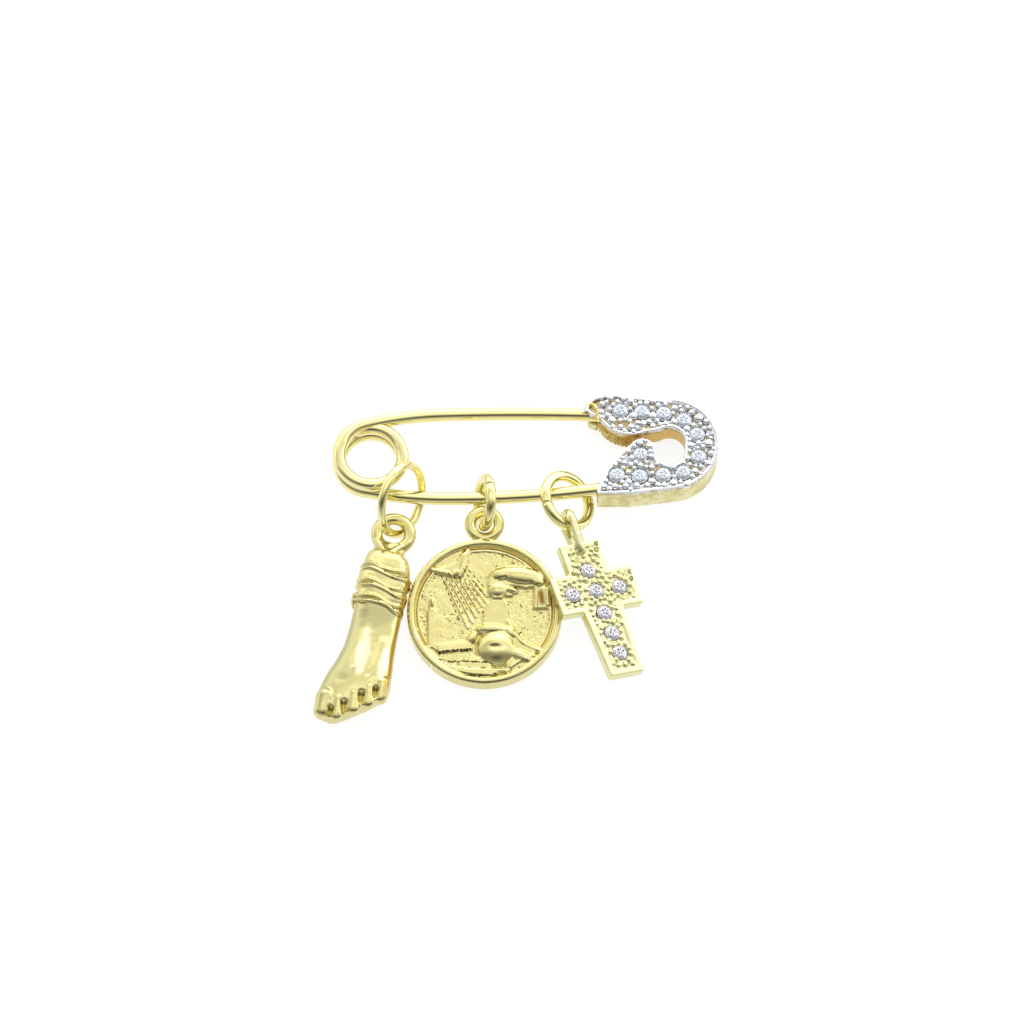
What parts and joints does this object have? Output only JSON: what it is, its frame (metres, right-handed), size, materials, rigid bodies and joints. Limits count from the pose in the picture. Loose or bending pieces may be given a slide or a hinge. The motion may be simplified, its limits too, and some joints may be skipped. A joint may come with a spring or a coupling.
{
  "type": "charm pin",
  "caption": "Safety-pin brooch with a coil spring, an arm that opens, a stone-set head that catches its point, and a hand, medal and cross charm on jump rings",
  "frame": {"origin": "on the flat back of the head, straight below the end of the fixed wire", "axes": "+X runs along the pin from the coil to the nose of the head, +Y points towards the arm that opens and away from the charms, +Z comes out of the face as the brooch lies on its back"},
  "size_m": [0.0365, 0.0325, 0.0067],
  "materials": {
    "gold_wire": "polished pale yellow gold plate",
    "gold_cast": "cast and polished pale yellow gold plate, a little satin in the hollows",
    "rhodium": "white rhodium face with prong beads over gold-plated walls",
    "crystal": "clear round cut stones"
  },
  "bodies": {
    "brooch": {"clasp_head": "rhodium", "fixed_wire": "gold_wire", "ring_hand": "gold_wire", "ring_medal": "gold_wire", "ring_cross": "gold_wire", "hand_charm": "gold_cast", "medal": "gold_cast", "cross_charm": "gold_cast", "head_stone_1": "crystal", "head_stone_2": "crystal", "head_stone_3": "crystal", "head_stone_4": "crystal", "head_stone_5": "crystal", "head_stone_6": "crystal", "head_stone_7": "crystal", "head_stone_8": "crystal", "head_stone_9": "crystal", "head_stone_10": "crystal", "head_stone_11": "crystal", "cross_stone_1": "crystal", "cross_stone_2": "crystal", "cross_stone_3": "crystal", "cross_stone_4": "crystal", "cross_stone_5": "crystal", "cross_stone_6": "crystal", "cross_stone_7": "crystal"},
    "arm": {"pin_arm": "gold_wire"}
  },
  "joints": [
    {"name": "pin_swing", "type": "hinge", "parent": "brooch", "child": "arm", "pos_m": [-0.0235, 0.00228, 0.0033], "axis": [0, 0, 1], "range_deg": [0, 25]}
  ]
}
